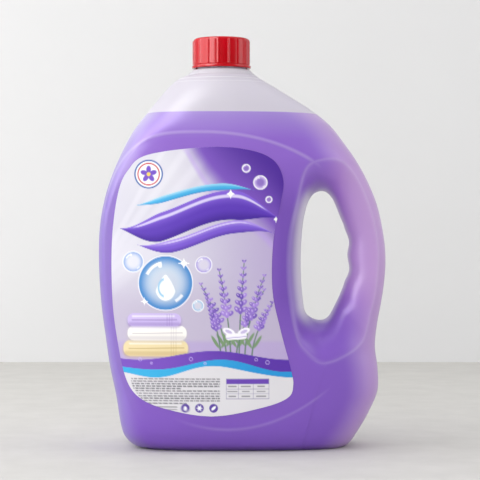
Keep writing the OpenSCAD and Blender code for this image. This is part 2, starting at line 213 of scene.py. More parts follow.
def close_poles(ob):
    """Welds the points that a turned profile's ends have on the axis into one point each."""
    bm = bmesh.new()
    bm.from_mesh(ob.data)
    on_axis = [v for v in bm.verts if math.hypot(v.co.x - NECK_X * MM, v.co.y) < 1e-7]
    bmesh.ops.remove_doubles(bm, verts=on_axis, dist=1e-7)
    bm.to_mesh(ob.data)
    bm.free()


def helix_ridge(foot_r, top_r, turns, low_z, inward=False, steps_a_turn=60, across=13):
    """A thread's ridge up a helix from low_z: RIDGE_W wide, and (1 - |q|^2.6)^0.9 of the way from foot_r to
    top_r high, q from -1 to 1 across it. Over RIDGE_FADE degrees at its ends it sinks in and narrows."""
    steps = int(turns * steps_a_turn)
    a = np.linspace(0, turns * 2 * np.pi, steps + 1)[:, None]
    q = np.linspace(-1, 1, across)
    fade = smooth(np.minimum(a, turns * 2 * np.pi - a) / math.radians(RIDGE_FADE))
    bump = (1 - np.abs(q) ** 2.6) ** 0.9
    sink = -RIDGE_SINK if top_r > foot_r else RIDGE_SINK
    r = foot_r + sink + (top_r - foot_r - sink) * bump * fade
    z = low_z + a / (2 * np.pi) * PITCH + q * RIDGE_W / 2 * mix(0.6, 1, fade)
    return round_neck(a, r, z), grid_faces(steps + 1, across, flip=inward)


# The blown body

half_w = BODY_W / 2
left_side = np.vstack([np.multiply(LEFT, [-half_w, SHOULDER_H]), [NECK_X - RING_R, SHOULDER_H]])
right_side = np.vstack([np.multiply(RIGHT, [half_w, SHOULDER_H]), [NECK_X + RING_R, SHOULDER_H]])


def table(net, scale=(1, 1), samples=900):
    """A smooth curve's points as two rising columns to read between: height, and value at that height."""
    return curve(np.multiply(net, scale), np.linspace(0, len(net) - 1, samples)).T


left_edge = table(left_side[:, ::-1])
right_edge = table(right_side[:, ::-1])
depths = table(DEPTH, (SHOULDER_H, FULL_H))
left_square = table(SQUARE_LEFT, (SHOULDER_H, 1))
right_square = table(SQUARE_RIGHT, (SHOULDER_H, 1))


def panel(x, lift=0):
    """Half depth of the label panels, or of a sheet lift off them: a circle of radius PANEL_R + lift about
    an upright axis behind the neck's."""
    return np.sqrt((PANEL_R + lift) ** 2 - (x - NECK_X) ** 2) - PANEL_R + PANEL_H


def loft(x, z):
    """Half depth of the round body: in each level section y = depth * (1 - part^n)^(1/n), part being the
    share of the way from the neck's axis to the outline and n the squareness at that height."""
    left = x < NECK_X
    reach = np.abs(np.where(left, np.interp(z, *left_edge), np.interp(z, *right_edge)) - NECK_X)
    n = np.where(left, np.interp(z, *left_square), np.interp(z, *right_square))
    part = np.minimum(np.abs(x - NECK_X) / reach, 1)
    return np.interp(z, *depths) * (1 - part ** n) ** (1 / n)


def half_depth(x, z):
    """The lesser of loft and panel, with the edge between them rounded over PANEL_SOFT."""
    a, b = loft(x, z), panel(x)
    s = np.maximum(PANEL_SOFT - np.abs(a - b), 0)
    return np.minimum(a, b) - s * s / (4 * PANEL_SOFT)


def eye_edge(t):
    """The hand hole's edge in the front view, with a finger wave on the grip's side: GRIP_WAVE times the
    cosine of the height in turns of FINGER_PITCH, faded in and out."""
    p = curve(EYE, t, closed=True)
    z = p[..., 1] * EYE_H
    wave = GRIP_WAVE * smooth((p[..., 0] - 0.3) / 0.15) * smooth((0.27 - np.abs(p[..., 1])) / 0.1)
    x = EYE_X + p[..., 0] * EYE_W - wave * np.cos(2 * np.pi * z / FINGER_PITCH)
    return np.stack([x, EYE_Z + z], -1)


def scoop_edge(t):
    """The outer edge of the finger scoop, facing the hand hole's points."""
    p = curve(SCOOP, t, closed=True)
    x = p[..., 0] * (EYE_W + 2 * np.where(p[..., 0] < 0, FLANK_W, GRIP_T - BAND_W))
    z = p[..., 1] * (EYE_H + 2 * np.where(p[..., 1] < 0, SCOOP_BOTTOM, SCOOP_TOP))
    return np.stack([EYE_X + x, EYE_Z + z], -1)


def parts(n):
    """n evenly spaced numbers from 0 to just short of 1."""
    return np.arange(n) / n


def body_skin(counts, rows, soften=0):
    """Points of the blown body as a grid closed both ways. Columns go round the hand hole, counted along
    the base, the label side, the neck and the handle side. Rows go from its edge through the scoop, which
    is (1 - (1 - w)^turn)^(1/turn) as deep as its own edge, over the front to the outline, and home over the
    back. Powers of a share only crowd the rows. The crease, where loft meets panel, is found by halving.
    soften rounds the scoop's edge, in that many passes of (before + 2 * point + after) / 4 along each
    row."""
    base_n, left_n, neck_n, right_n = counts
    scoop_n, panel_n, round_n, edge_n = rows
    k = (len(right_side) - 1) * (1 - parts(right_n))
    out = np.concatenate([
        mix(right_side[0], left_side[0], parts(base_n)[:, None]),
        curve(left_side, parts(left_n) * (len(left_side) - 1)),
        mix(left_side[-1], right_side[-1], parts(neck_n)[:, None]), curve(right_side, k)])
    t = np.concatenate([
        mix(FACING[0][1] - len(EYE), BASE_LEFT_AT, parts(base_n)),
        mix(BASE_LEFT_AT, NECK_LEFT_AT, parts(left_n)),
        mix(NECK_LEFT_AT, FACING[-1][1], parts(neck_n)), np.interp(k, *np.transpose(FACING))])
    flat = np.repeat([1, 0, 1, 0], counts)
    eye, scoop = eye_edge(t), scoop_edge(t)
    rim = np.where(flat > 0, half_depth(out[:, 0], out[:, 1]), 0)
    share_end = mix(EDGE_SHARE, 1, smooth(rim / EDGE_FADE))[:, None]
    turn = mix(FLANK_TURN, GRIP_TURN, smooth(curve(EYE, t, closed=True)[:, 0] + 0.5))[:, None]

    low, high = np.zeros(len(t)), np.ones(len(t))
    for _ in range(22):
        m = (low + high) / 2
        p = mix(scoop, out, m[:, None])
        beyond = loft(p[:, 0], p[:, 1]) > panel(p[:, 0])
        low, high = np.where(beyond, m, low), np.where(beyond, high, m)
    crease = np.clip(low, 0.12, 0.945)[:, None]

    w = parts(scoop_n)[None, :] ** 1.7
    p = mix(eye[:, None], scoop[:, None], w[..., None])
    y = half_depth(scoop[:, 0], scoop[:, 1])[:, None] * (1 - (1 - w) ** turn) ** (1 / turn)
    scoop_part = np.stack([p[..., 0], y, p[..., 1]], -1)

    to_outline = np.linspace(0, 1, edge_n + 1)
    s = np.concatenate([
        crease * parts(panel_n)[None, :] ** 1.4,
        share_end - (share_end - crease) * (1 - parts(round_n)[None, :]) ** 1.3,
        1 - (1 - share_end) * (1 - to_outline[None, :]) ** 2], 1)
    p = mix(scoop[:, None], out[:, None], s[..., None])
    across = np.concatenate([np.zeros(panel_n + round_n), to_outline ** 1.2])[None, :]
    inset = rim[:, None] * across
    y = np.where(across >= 1, 0, half_depth(p[..., 0], p[..., 1]) - inset)
    on_base = ((flat > 0) & (out[:, 1] < 1))[:, None]
    lift = PUSH_UP * smooth((rim - PUSH_FROM) / 10)[:, None] * smooth((inset - STAND_W) / PUSH_SLOPE)
    front_part = np.stack([p[..., 0], y, p[..., 1] + np.where(on_base, lift, 0)], -1)

    half = np.concatenate([scoop_part, front_part], 1)
    for _ in range(soften):
        lo, hi = scoop_n - 6, scoop_n + 7
        half[:, lo:hi] = (half[:, lo - 1:hi - 1] + 2 * half[:, lo:hi] + half[:, lo + 1:hi + 1]) / 4
    return np.concatenate([half * [1, -1, 1], half[:, -2:0:-1]], 1)


def grid_normals(p):
    """Unit normals out of a grid closed both ways: the cross product of the steps along both directions."""
    du = np.roll(p, -1, 0) - np.roll(p, 1, 0)
    dv = np.roll(p, -1, 1) - np.roll(p, 1, 1)
    n = np.cross(du, dv)
    return n / np.maximum(np.linalg.norm(n, axis=-1, keepdims=True), 1e-9)


def skin_sheet(skin, depth, hole_r, inside=False):
    """The skin moved inwards by depth, with a round hole of hole_r at the neck. inside turns its faces."""
    pts = (skin - depth * grid_normals(skin)).reshape(-1, 3)
    quads = grid_faces(*skin.shape[:2], close_u=True, close_v=True, flip=inside)
    mid = pts[quads].mean(1)
    at_neck = (np.hypot(mid[:, 0] - NECK_X, mid[:, 1]) < hole_r) & (mid[:, 2] > SHOULDER_H - 6)
    used, where = np.unique(quads[~at_neck], return_inverse=True)
    return pts[used], where.reshape(-1, 4)


outer = body_skin((60, 112, 36, 150), (18, 24, 20, 14), soften=5)
inner = body_skin((36, 54, 18, 84), (10, 12, 10, 8), soften=2)

COLLAR_Z = CAP_Z - CAP_GAP
NECK_SOFT, ROOT_FILLET, SHEET_LAP = 0.5, 0.8, 0.2
foot_r = RING_R - LEDGE_W
cavity_r = foot_r - WALL
neck_profile = rounded([
    (foot_r + 0.3, SHOULDER_H - 0.5), (foot_r, SHOULDER_H + 0.05), (foot_r, SHOULDER_H + 0.4),
    (COLLAR_R, COLLAR_Z - 0.4), (COLLAR_R - NECK_SOFT, COLLAR_Z), (ROOT_R + ROOT_FILLET, COLLAR_Z),
    (ROOT_R, COLLAR_Z + ROOT_FILLET), (ROOT_R, FINISH_Z - 0.3), (ROOT_R - NECK_SOFT, FINISH_Z),
    (BORE_R + NECK_SOFT, FINISH_Z), (BORE_R, FINISH_Z - NECK_SOFT), (BORE_R, COLLAR_Z - WALL),
    (COLLAR_R - 1.3 * WALL, COLLAR_Z - WALL), (cavity_r, SHOULDER_H + SHEET_LAP),
    (cavity_r, SHOULDER_H - WALL), (cavity_r + 0.5, SHOULDER_H - WALL - SHEET_LAP)], NECK_SOFT)
thread_z = FINISH_Z - LIP_H - NECK_TURNS * PITCH
inner_sheet = skin_sheet(inner, WALL, cavity_r, inside=True)
bottle = join_grids("bottle_shell", [
    skin_sheet(outer, 0, foot_r - SHEET_LAP), revolve(neck_profile, 120, flip=True),
    helix_ridge(ROOT_R, ROOT_R + RIDGE_H, NECK_TURNS, thread_z, inward=True), inner_sheet])
bottle_n = len(bottle.data.vertices)
add_value(bottle, "inner", np.arange(bottle_n) >= bottle_n - len(inner_sheet[0]))

# The liquid

def cut_level(points, quads, level):
    """The mesh below a level plane, with a flat face that closes it there."""
    ob = make_mesh("liquid", points, quads)
    bm = bmesh.new()
    bm.from_mesh(ob.data)
    bmesh.ops.bisect_plane(bm, geom=bm.verts[:] + bm.edges[:] + bm.faces[:], plane_co=(0, 0, level * MM),
                           plane_no=(0, 0, 1), clear_outer=True)
    rim = [e for e in bm.edges if e.is_boundary]
    bmesh.ops.edgeloop_fill(bm, edges=rim)
    for f in bm.faces:
        f.smooth = len(f.verts) < 8
    bmesh.ops.recalc_face_normals(bm, faces=bm.faces[:])
    bm.to_mesh(ob.data)
    bm.free()
    return ob


fill_skin = body_skin((48, 70, 24, 110), (12, 16, 16, 10), soften=3)
detergent = cut_level(*skin_sheet(fill_skin, WALL + FILL_GAP, 0), FILL_H)


def distance_to(path, x, z):
    """Distance of each point (x, z) to the nearest straight piece of a closed path."""
    path = path.astype(np.float32)
    step = np.roll(path, -1, 0) - path
    u, v = np.float32(x)[:, None] - path[:, 0], np.float32(z)[:, None] - path[:, 1]
    t = np.clip((u * step[:, 0] + v * step[:, 1]) / (step ** 2).sum(1), 0, 1)
    return np.hypot(u - t * step[:, 0], v - t * step[:, 1]).min(1)


def thinness(x, z):
    """How little liquid lies behind a point: 0 in the thick of the body, 0.62 over the grip."""
    return 0.62 * smooth((x - 50) / 34) * smooth((z - 78) / 50) * smooth((236 - z) / 44)


def rim_share(x, z):
    """1 at the outline, falling to 0 at 18 mm from it on the label side, and 27 to 29 mm on the handle
    side."""
    in_left = x - np.interp(z, *left_edge)
    in_right = np.interp(z, *right_edge) - x
    return smooth(1 - np.minimum(in_left / 18, in_right / (27 + 2 * smooth((z - 80) / 50))))


def off_edge(edge, samples, x, z, reach_x, reach_z):
    """Distance of each point to a closed edge round the hand hole, where it lies within reach of the hole's
    middle, and far off elsewhere."""
    d = np.full(len(x), 1e6, np.float32)
    near = (np.abs(x - EYE_X) < reach_x) & (np.abs(z - EYE_Z) < reach_z)
    d[near] = distance_to(edge(np.linspace(0, len(EYE), samples, endpoint=False)), x[near], z[near])
    return d


def hand_hole_share(x, z):
    """Where the wall pinches towards the hand hole: on the flank 1 within 1 mm of its edge and 0 at 11 mm,
    less at its top and bottom, elsewhere 0.4 at the edge and 0 at 3 mm. The wall is paler there, partly for
    the bare plastic and partly as painted light on a flank in shade."""
    d = off_edge(eye_edge, 96, x, z, 36, 66)
    flank = smooth((EYE_X - 5 - x) / 9) * smooth((56 - np.abs(z - EYE_Z)) / 20)
    return np.maximum(smooth(1.1 - d / 10) * flank, 0.4 * smooth(1 - d / 3))


def scoop_ridge_and_highlight(x, z):
    """A pale line along the scoop's edge round the hand hole, a painted highlight that a bump also raises:
    exp(-(distance / 1.1 mm)^2).
    """
    return np.exp(-(off_edge(scoop_edge, 120, x, z, 52, 86) / 1.1) ** 2)


for ob in (detergent, bottle):
    co = points_of(ob)
    px, pz = co[:, 0], np.clip(co[:, 2], 0, SHOULDER_H)
    add_value(ob, "thin", thinness(px, pz))
    add_value(ob, "rim", rim_share(px, pz))
    if ob == bottle:
        add_value(ob, "hole", hand_hole_share(px, pz))
        add_value(ob, "scoop_ridge_and_highlight", scoop_ridge_and_highlight(px, pz))

# The cap and its liner

# The outside of the cap from its foot up: radius past CAP_R, height, weight of the ribs
CAP_SIDE = [
    [0.5, 0, 0], [0.8, 0.08, 0], [0.95, 0.3, 0], [1, 0.6, 0], [1, 1.2, 0], [0.96, 1.55, 0], [0.8, 1.85, 0],
    [0.5, 1.98, 0], [-0.1, 2.05, 0], [-0.2, 2.2, 0], [-0.2, 2.45, 0.1], [-0.05, 2.6, 0.5], [0, 2.8, 0.9],
    *([0, z, 1] for z in (3.1, 3.6, 6, 9, 12, 15, 17, 18.2, 18.9)), [-0.02, 19.5, 0.95],
    [-0.1, 20.1, 0.75], [-0.26, 20.6, 0.45], [-0.5, 21.05, 0.2], [-0.85, 21.45, 0.06], [-1.3, 21.72, 0],
    [-1.8, 21.86, 0], [-2.4, 21.9, 0], [-3.4, 21.9, 0], [-3.7, 21.85, 0], [-4, 21.72, 0],
    [-4.4, 21.68, 0], [-8, 21.64, 0]]
# The middle of its top: radius, height
CAP_TOP = [[10, 21.6], [3, 21.58], [1.5, 21.58], [1.1, 21.5], [0.7, 21.45], [0, 21.45]]


def cap_surface(steps_a_rib=24):
    """Outside of the cap: its profile turned round. Between ribs the radius goes FACET_SHARE of the way to
    a flat facet's, r * cos(half step) / cos(angle from its middle), and each rib adds a ridge,
    RIB_H * exp(-(angle / RIB_HALF_W degrees)^3.2)."""
    line = np.array([[CAP_BORE_R + CAP_LEAD_W, 0, 0]] + [[CAP_R + p[0], p[1], p[2]] for p in CAP_SIDE]
                    + [[*p, 0] for p in CAP_TOP])
    steps = RIBS * steps_a_rib
    a = np.linspace(0, 2 * np.pi, steps, endpoint=False)[:, None]
    step = 2 * np.pi / RIBS
    off = (a - math.radians(RIB_START) + step / 2) % step - step / 2
    rib = RIB_H * np.exp(-(np.abs(off) / math.radians(RIB_HALF_W)) ** 3.2)
    facet = np.cos(step / 2) / np.cos(step / 2 - np.abs(off))
    r, z, weight = line.T
    r = r * mix(1, facet, FACET_SHARE * weight) + rib * weight
    return round_neck(a, r, CAP_Z + z), grid_faces(steps, len(line), close_u=True, flip=True)


inside_top = CAP_H - CAP_TOP_T
bore_profile = rounded([
    (CAP_BORE_R + CAP_LEAD_W, 0), (CAP_BORE_R, CAP_LEAD_H), (CAP_BORE_R, inside_top), (0, inside_top)], 0.5)
cap = join_grids("screw_cap_shell", [
    cap_surface(), revolve(bore_profile + [0, CAP_Z], 144),
    helix_ridge(CAP_BORE_R, ROOT_R + THREAD_CLEAR, CAP_TURNS, thread_z - PITCH / 2)])

LIP_MARK = 0.12
liner_r = CAP_BORE_R - LINER_CLEAR
liner_profile = rounded([
    (0, 0), (BORE_R - 0.8, 0), (BORE_R - 0.3, LIP_MARK), (ROOT_R, LIP_MARK), (ROOT_R + 0.4, 0),
    (liner_r, 0), (liner_r, LINER_T), (0, LINER_T)], 0.35)
liner = join_grids("liner_disc", [revolve(liner_profile + [0, LINER_Z], 96, flip=True)])
close_poles(cap)
close_poles(liner)

# The label and its print

def label_outline(samples=2400):
    """The label's closed edge in millimetres."""
    p = curve(LABEL, np.linspace(0, len(LABEL), samples, endpoint=False), closed=True)
    return np.stack([LABEL_X + p[:, 0] * LABEL_W, LABEL_Z + p[:, 1] * LABEL_H], -1)


def label_grid(nu, nv):
    """Points of the label's face: rows from its lowest to its highest point, spaced 0.8 evenly and 0.2 as
    a cosine, each straight across from edge to edge."""
    edge = label_outline()
    low, high = edge[:, 1].argmin(), edge[:, 1].argmax()
    up = np.roll(edge, -low, 0)
    n = (high - low) % len(edge)
    left, right = up[:n + 1], np.concatenate([up[n:], up[:1]])[::-1]
    z = mix(edge[low, 1], edge[high, 1], (1 - np.cos(np.linspace(0, np.pi, nv))) / 2)
    z = mix(z, np.linspace(edge[low, 1], edge[high, 1], nv), 0.8)
    across = [np.interp(z, side[:, 1], side[:, 0]) for side in (left, right)]
    return mix(*across, np.linspace(0, 1, nu)[:, None]), np.broadcast_to(z, (nu, nv)).copy()


def srgb(*c):
    """A colour given as on a screen, 0 to 255, as the renderer's linear values."""
    v = np.asarray(c, float) / 255
    return np.where(v <= 0.04045, v / 12.92, ((v + 0.055) / 1.055) ** 2.4)


WHITE, GREY = (255, 255, 255), (64, 60, 76)


class Print:
    """The label's print: colours at points (a, b), in millimetres from its middle. Each shape is a signed
    distance, negative inside, and its edge fades over half a millimetre."""

    def __init__(self, a, b):
        self.a, self.b = a, b
        self.rgb = np.ones(a.shape + (3,))

    def lay(self, colour, cover):
        """Lays a screen colour, or an array of linear ones, over the print where cover is 1."""
        if isinstance(colour, tuple):
            colour = srgb(*colour)
        self.rgb = mix(self.rgb, colour, np.clip(cover, 0, 1)[..., None])

    def blend(self, first, second, share, cover):
        """Lays the colour that goes from first to second with share."""
        self.lay(mix(srgb(*first), srgb(*second), share[..., None]), cover)

    def shape(self, colour, dist, strength=1.0, edge=0.5):
        """Lays a colour where a distance is negative."""
        self.lay(colour, strength * smooth(0.5 - dist / edge))

    def disc(self, x, y, r):
        """Distance to a circle."""
        return np.hypot(self.a - x, self.b - y) - r

    def ring(self, x, y, r, w):
        """Distance to a ring of width w."""
        return np.abs(self.disc(x, y, r)) - w / 2

    def turned(self, x, y, deg):
        """The points seen from (x, y) along axes turned by deg degrees."""
        c, s = math.cos(math.radians(deg)), math.sin(math.radians(deg))
        u, v = self.a - x, self.b - y
        return u * c + v * s, v * c - u * s

    def under(self, level):
        """1 below a level at each point, 0 above it."""
        return smooth((level - self.b) / 0.5 + 0.5)

    def oval(self, x, y, rx, ry, deg=0):
        """Distance to an ellipse, near its edge: (length of (u/rx, v/ry) - 1) times the lesser radius."""
        u, v = self.turned(x, y, deg)
        return (np.hypot(u / rx, v / ry) - 1) * min(rx, ry)

    def block(self, x, y, w, h, r, deg=0):
        """Distance to a box w by h with corners of radius r."""
        u, v = self.turned(x, y, deg)
        qx, qy = np.abs(u) - w / 2 + r, np.abs(v) - h / 2 + r
        return np.hypot(np.maximum(qx, 0), np.maximum(qy, 0)) + np.minimum(np.maximum(qx, qy), 0) - r

    def line(self, x0, y0, x1, y1, w):
        """Distance to a straight stroke of width w with round ends."""
        u, v = self.a - x0, self.b - y0
        dx, dy = x1 - x0, y1 - y0
        t = np.clip((u * dx + v * dy) / (dx * dx + dy * dy), 0, 1)
        return np.hypot(u - t * dx, v - t * dy) - w / 2


def towel(p, x, y, w, h, colour, shade):
    """A folded towel: a rounded block with a fold line, a pale stripe, a shadow and woven lines."""
    p.shape(shade, p.block(x, y - 1.2, w + 1, h, h * 0.45), 0.45, edge=3)
    p.shape(colour, p.block(x, y, w, h, h * 0.45))
    p.shape(shade, p.block(x, y - h * 0.33, w - 1.2, h * 0.3, h * 0.15), 0.5, edge=2.5)
    p.shape(shade, p.line(x - w / 2 + h * 0.35, y - 0.3, x + w / 2 - 3, y + 0.2, 0.7), 0.8)
    stripe = p.line(x - w / 2 + h * 0.4, y + h * 0.27, x + w / 2 - 5, y + h * 0.29, 1.1)
    p.shape(WHITE, stripe, 0.6, edge=1.2)
    for k in range(3):
        at = x + w * 0.24 + k * 1.7
        p.shape(shade, p.line(at, y - h * 0.44, at, y + h * 0.42, 0.5), 0.45)


def sprig(p, x, y, lean, height, size, rng):
    """A lavender stem: a bent stalk, two leaves, and whorls of florets that get smaller upwards."""
    stalk, leaf, glint = (96, 128, 104), (122, 152, 112), (224, 206, 244)
    t = np.linspace(0, 1, 9)
    px = x + lean * t ** 1.6 * height * 0.45
    py = y + height * t
    for i in range(8):
        p.shape(stalk, p.line(px[i], py[i], px[i + 1], py[i + 1], 1.0 - 0.05 * i))
    for side in (-1, 1):
        p.shape(leaf, p.oval(px[1] + side * 3.4, py[1] + 4.5, 5.2, 1.1, 90 - side * 32))
    dark, light = srgb(96, 62, 176), srgb(178, 146, 226)
    for f in np.linspace(0.48, 1.0, 8):
        cx, cy = np.interp(f, t, px), np.interp(f, t, py)
        wide = size * (1.15 - 0.75 * (f - 0.48) / 0.52)
        for side in (-1, 1, 0):
            turn, up = 90 - side * 48, abs(side)
            tilt = rng.uniform(-10, 10)
            tone = mix(dark, light, rng.uniform(0.05, 0.85))
            floret = p.oval(cx + side * wide * 0.62, cy + up * 0.8, wide * 0.66, wide * 0.42, turn + tilt)
            p.shape(tone, floret)
            spot = p.oval(cx + side * wide * 0.7 - 0.3, cy + up * 0.9 + 0.5, wide * 0.2, wide * 0.12, turn)
            p.shape(glint, spot, 0.75)


def bubble(p, x, y, r, tint, deep):
    """A soap bubble: deeper towards its rim, with a bright rim line, two curved glints and a spot."""
    u, v = p.a - x, p.b - y
    d = np.hypot(u, v) / r
    inside = smooth((1 - d) * r / 0.5)
    cover = inside * (0.35 + 0.6 * smooth((d - 0.3) / 0.7))
    p.blend(tint, deep, smooth((d - 0.35) / 0.65), cover)
    p.shape(WHITE, p.ring(x, y, r - 0.25, 0.7), 0.85)
    angle = np.degrees(np.arctan2(v, u))
    arc = np.abs(np.hypot(u, v) - r * 0.74) - r * 0.055
    for middle, half, strength in ((128, 27, 0.95), (-48, 13, 0.75)):
        p.shape(WHITE, np.maximum(arc, (np.abs(angle - middle) - half) * r * 0.0125), strength)
    p.shape(WHITE, p.disc(x - r * 0.2, y + r * 0.62, r * 0.07), 0.9)


def sparkle(p, x, y, r):
    """A four-pointed star whose edge is where the square roots of |u| and |v| add up to that of r."""
    u, v = np.abs(p.a - x) + 1e-9, np.abs(p.b - y) + 1e-9
    p.shape(WHITE, (np.sqrt(u) + np.sqrt(v)) ** 2 - r, edge=0.8)


def ribbon(p, level, rise, length, shift, half, width, middle, fade, tones):
    """A glossy band along b = level + rise * sin(a / length + shift), half thick, that tapers off over fade
    from width to either side of middle. Its tones are the body's, a brighter above and a darker below."""
    off = p.b - (level + rise * np.sin(p.a / length + shift))
    h = half * smooth((width - np.abs(p.a - middle)) / fade)
    v = off / np.maximum(h, 0.01)
    cover = smooth((h - np.abs(off)) / 0.5)
    body, bright, dark = (srgb(*c) for c in tones)
    tone = mix(body, bright, smooth(v + 0.1)[..., None])
    p.lay(mix(tone, dark, smooth((-v - 0.15) / 0.9)[..., None]), cover)
    glint = smooth((0.16 - np.abs(v - 0.62)) / 0.12) * smooth((h - 2.5) / 3) * 0.75
    p.lay((240, 232, 255), cover * glint)


def paint_ground(p):
    """A pale lilac ground with soft light, slanting rays and a deep violet corner."""
    a, b = p.a, p.b
    p.blend((214, 212, 224), (184, 168, 208), smooth((a + 40) / 110), np.ones_like(a))
    p.lay((192, 182, 206), 0.85 * smooth((16 - b) / 40))
    p.lay((230, 229, 236), 0.6 * smooth(1 - np.hypot((a + 30) / 46, (b - 78) / 40)))
    for k in range(5):
        slope = 0.55 + 0.16 * k
        ray = np.abs(a + 62 - (b + 8 * k - 30) * slope) / (3.0 + 1.6 * k)
        p.lay((244, 242, 250), 0.25 * smooth(1.2 - ray) * smooth((b + 30) / 50))
    corner = 0.78 * a + 0.6 * b - 51 + 5 * np.sin(a / 15 + 1.2)
    p.blend((128, 88, 192), (80, 44, 152), smooth(corner / 34), smooth((corner + 6) / 16))
    p.lay((190, 160, 230), 0.5 * smooth(1 - np.abs(corner + 2) / 3.5))


def paint_mark(p, x, y):
    """A round mark: a blue rim, a white disc, a red ring and a flower of five petals."""
    p.shape((40, 90, 170), p.disc(x, y, 10.2))
    p.shape((252, 252, 255), p.disc(x, y, 9.2))
    p.shape((196, 36, 48), p.ring(x, y, 7.6, 0.9))
    for deg in range(90, 450, 72):
        way = math.radians(deg)
        p.shape((116, 78, 196), p.oval(x + 3.3 * math.cos(way), y + 3.3 * math.sin(way), 2.7, 1.7, deg))
    p.shape((248, 210, 96), p.disc(x, y, 1.4))


def paint_drop(p, x, y):
    """A white drop, a circle that narrows upwards, with a pale blue crescent."""
    u, v = p.a - x, p.b - y
    drop = np.hypot(u / (1 - 0.052 * np.clip(v + 4, 0, 18)), v * 0.78 + 1) - 7.2
    p.shape((250, 253, 255), drop, 0.95)
    crescent = np.abs(np.hypot(u, v * 0.78 + 1) - 4.9) - 0.6
    p.shape((120, 190, 232), np.maximum(crescent, u + 1.2), 0.8)


def paint_bow(p, x, y):
    """A white bow that ties the lavender."""
    silk = (250, 248, 255)
    p.shape(silk, p.block(x, y, 15, 4.6, 2.0, 4))
    p.shape((180, 160, 216), p.line(x - 7, y - 1.3, x + 7, y - 0.1, 0.6), 0.9)
    for side in (-1, 1):
        p.shape(silk, p.oval(x + side * 5.2, y + 3.3, 4.6, 2.3, 24 * side))
        p.shape((190, 172, 222), p.oval(x + side * 5.4, y + 3.3, 2.6, 1.1, 24 * side), 0.8)


def paint_bands(p):
    """Wavy violet and blue bands across the foot, and the pale information ground under them."""
    across = smooth((p.a + 40) / 90)
    wave = -52 + 3.2 * np.sin(p.a / 17 + 1.1)
    p.blend((120, 78, 190), (92, 52, 168), across, p.under(wave))
    wave = wave - 7.2 + 1.4 * np.sin(p.a / 12)
    p.blend((54, 176, 228), (40, 150, 216), across, p.under(wave))
    wave = wave - 4.6 + np.sin(p.a / 9 + 2)
    p.lay((224, 222, 226), p.under(wave))
    for x, y, r in ((-44, -55, 1.1), (-36, -57.5, 0.7), (-8, -54.5, 1.2), (2, -57.6, 0.8), (38, -55, 1.0),
                    (46, -57, 1.3)):
        p.shape((206, 184, 240), p.ring(x, y, r, 0.35), 0.9)


def paint_rows(p, rng, top):
    """Eleven rows of grey strokes, broken by sums of sines, that say nothing."""
    for k in range(11):
        y = top - 1.72 * k
        x0, x1 = -50.5 + 0.108 * k * k, 12.5
        if k in (4, 10):
            x1 = mix(x0, x1, 0.55)
        gap = rng.uniform(0, 50)
        word = smooth((np.sin(p.a * 4.3 + gap) + np.sin(p.a * 1.7 + gap * 2.3) + 1.3) / 0.6)
        tone = 0.8 + 0.2 * np.sin(p.a * 7.3 + gap * 5) * np.sin(p.b * 5 + k)
        row = smooth(0.5 - p.block((x0 + x1) / 2, y, x1 - x0, 0.95, 0.3) / 0.4)
        p.lay(GREY, 0.95 * word * tone * row)


def paint_table(p, top, step=3.5, columns=(17, 25.5, 36, 47)):
    """A small ruled table of grey strokes, with a violet head."""
    rule = (150, 142, 176)
    for k in range(5):
        p.shape(rule, p.line(columns[0], top - step * k, columns[-1], top - step * k, 0.32), 0.9)
    for x in columns:
        p.shape(rule, p.line(x, top, x, top - 4 * step, 0.32), 0.9)
    middle = top - step / 2
    p.shape((108, 70, 180), p.block(32, middle, 30, 3.4, 0.3))
    for i, x in enumerate((21.2, 30.7, 41.5)):
        for k in range(1, 4):
            y, half = middle - step * k, (4.6, 5.4, 6.4)[(i + k) % 3] / 2
            p.shape(GREY, p.line(x - half, y, x + half, y, 0.8), 0.7)


def paint_icons(p, y):
    """Three violet discs with a drop, a star and a leaf, and two grey strokes."""
    for x in (-12, -2, 8):
        p.shape((92, 66, 160), p.disc(x, y, 3.1))
    for x, dy, rx, ry, deg in ((-12, -0.3, 1.1, 1.7, 0), (-2, 0, 2, 0.55, 0), (-2, 0, 2, 0.55, 60),
                               (-2, 0, 2, 0.55, 120), (8, 0, 1.9, 0.95, 42)):
        p.shape((250, 250, 255), p.oval(x, y + dy, rx, ry, deg))
    for x, dy in ((-34, 0.8), (-31, -1)):
        p.shape(GREY, p.line(x, y + dy, -18, y + dy, 0.8), 0.6)


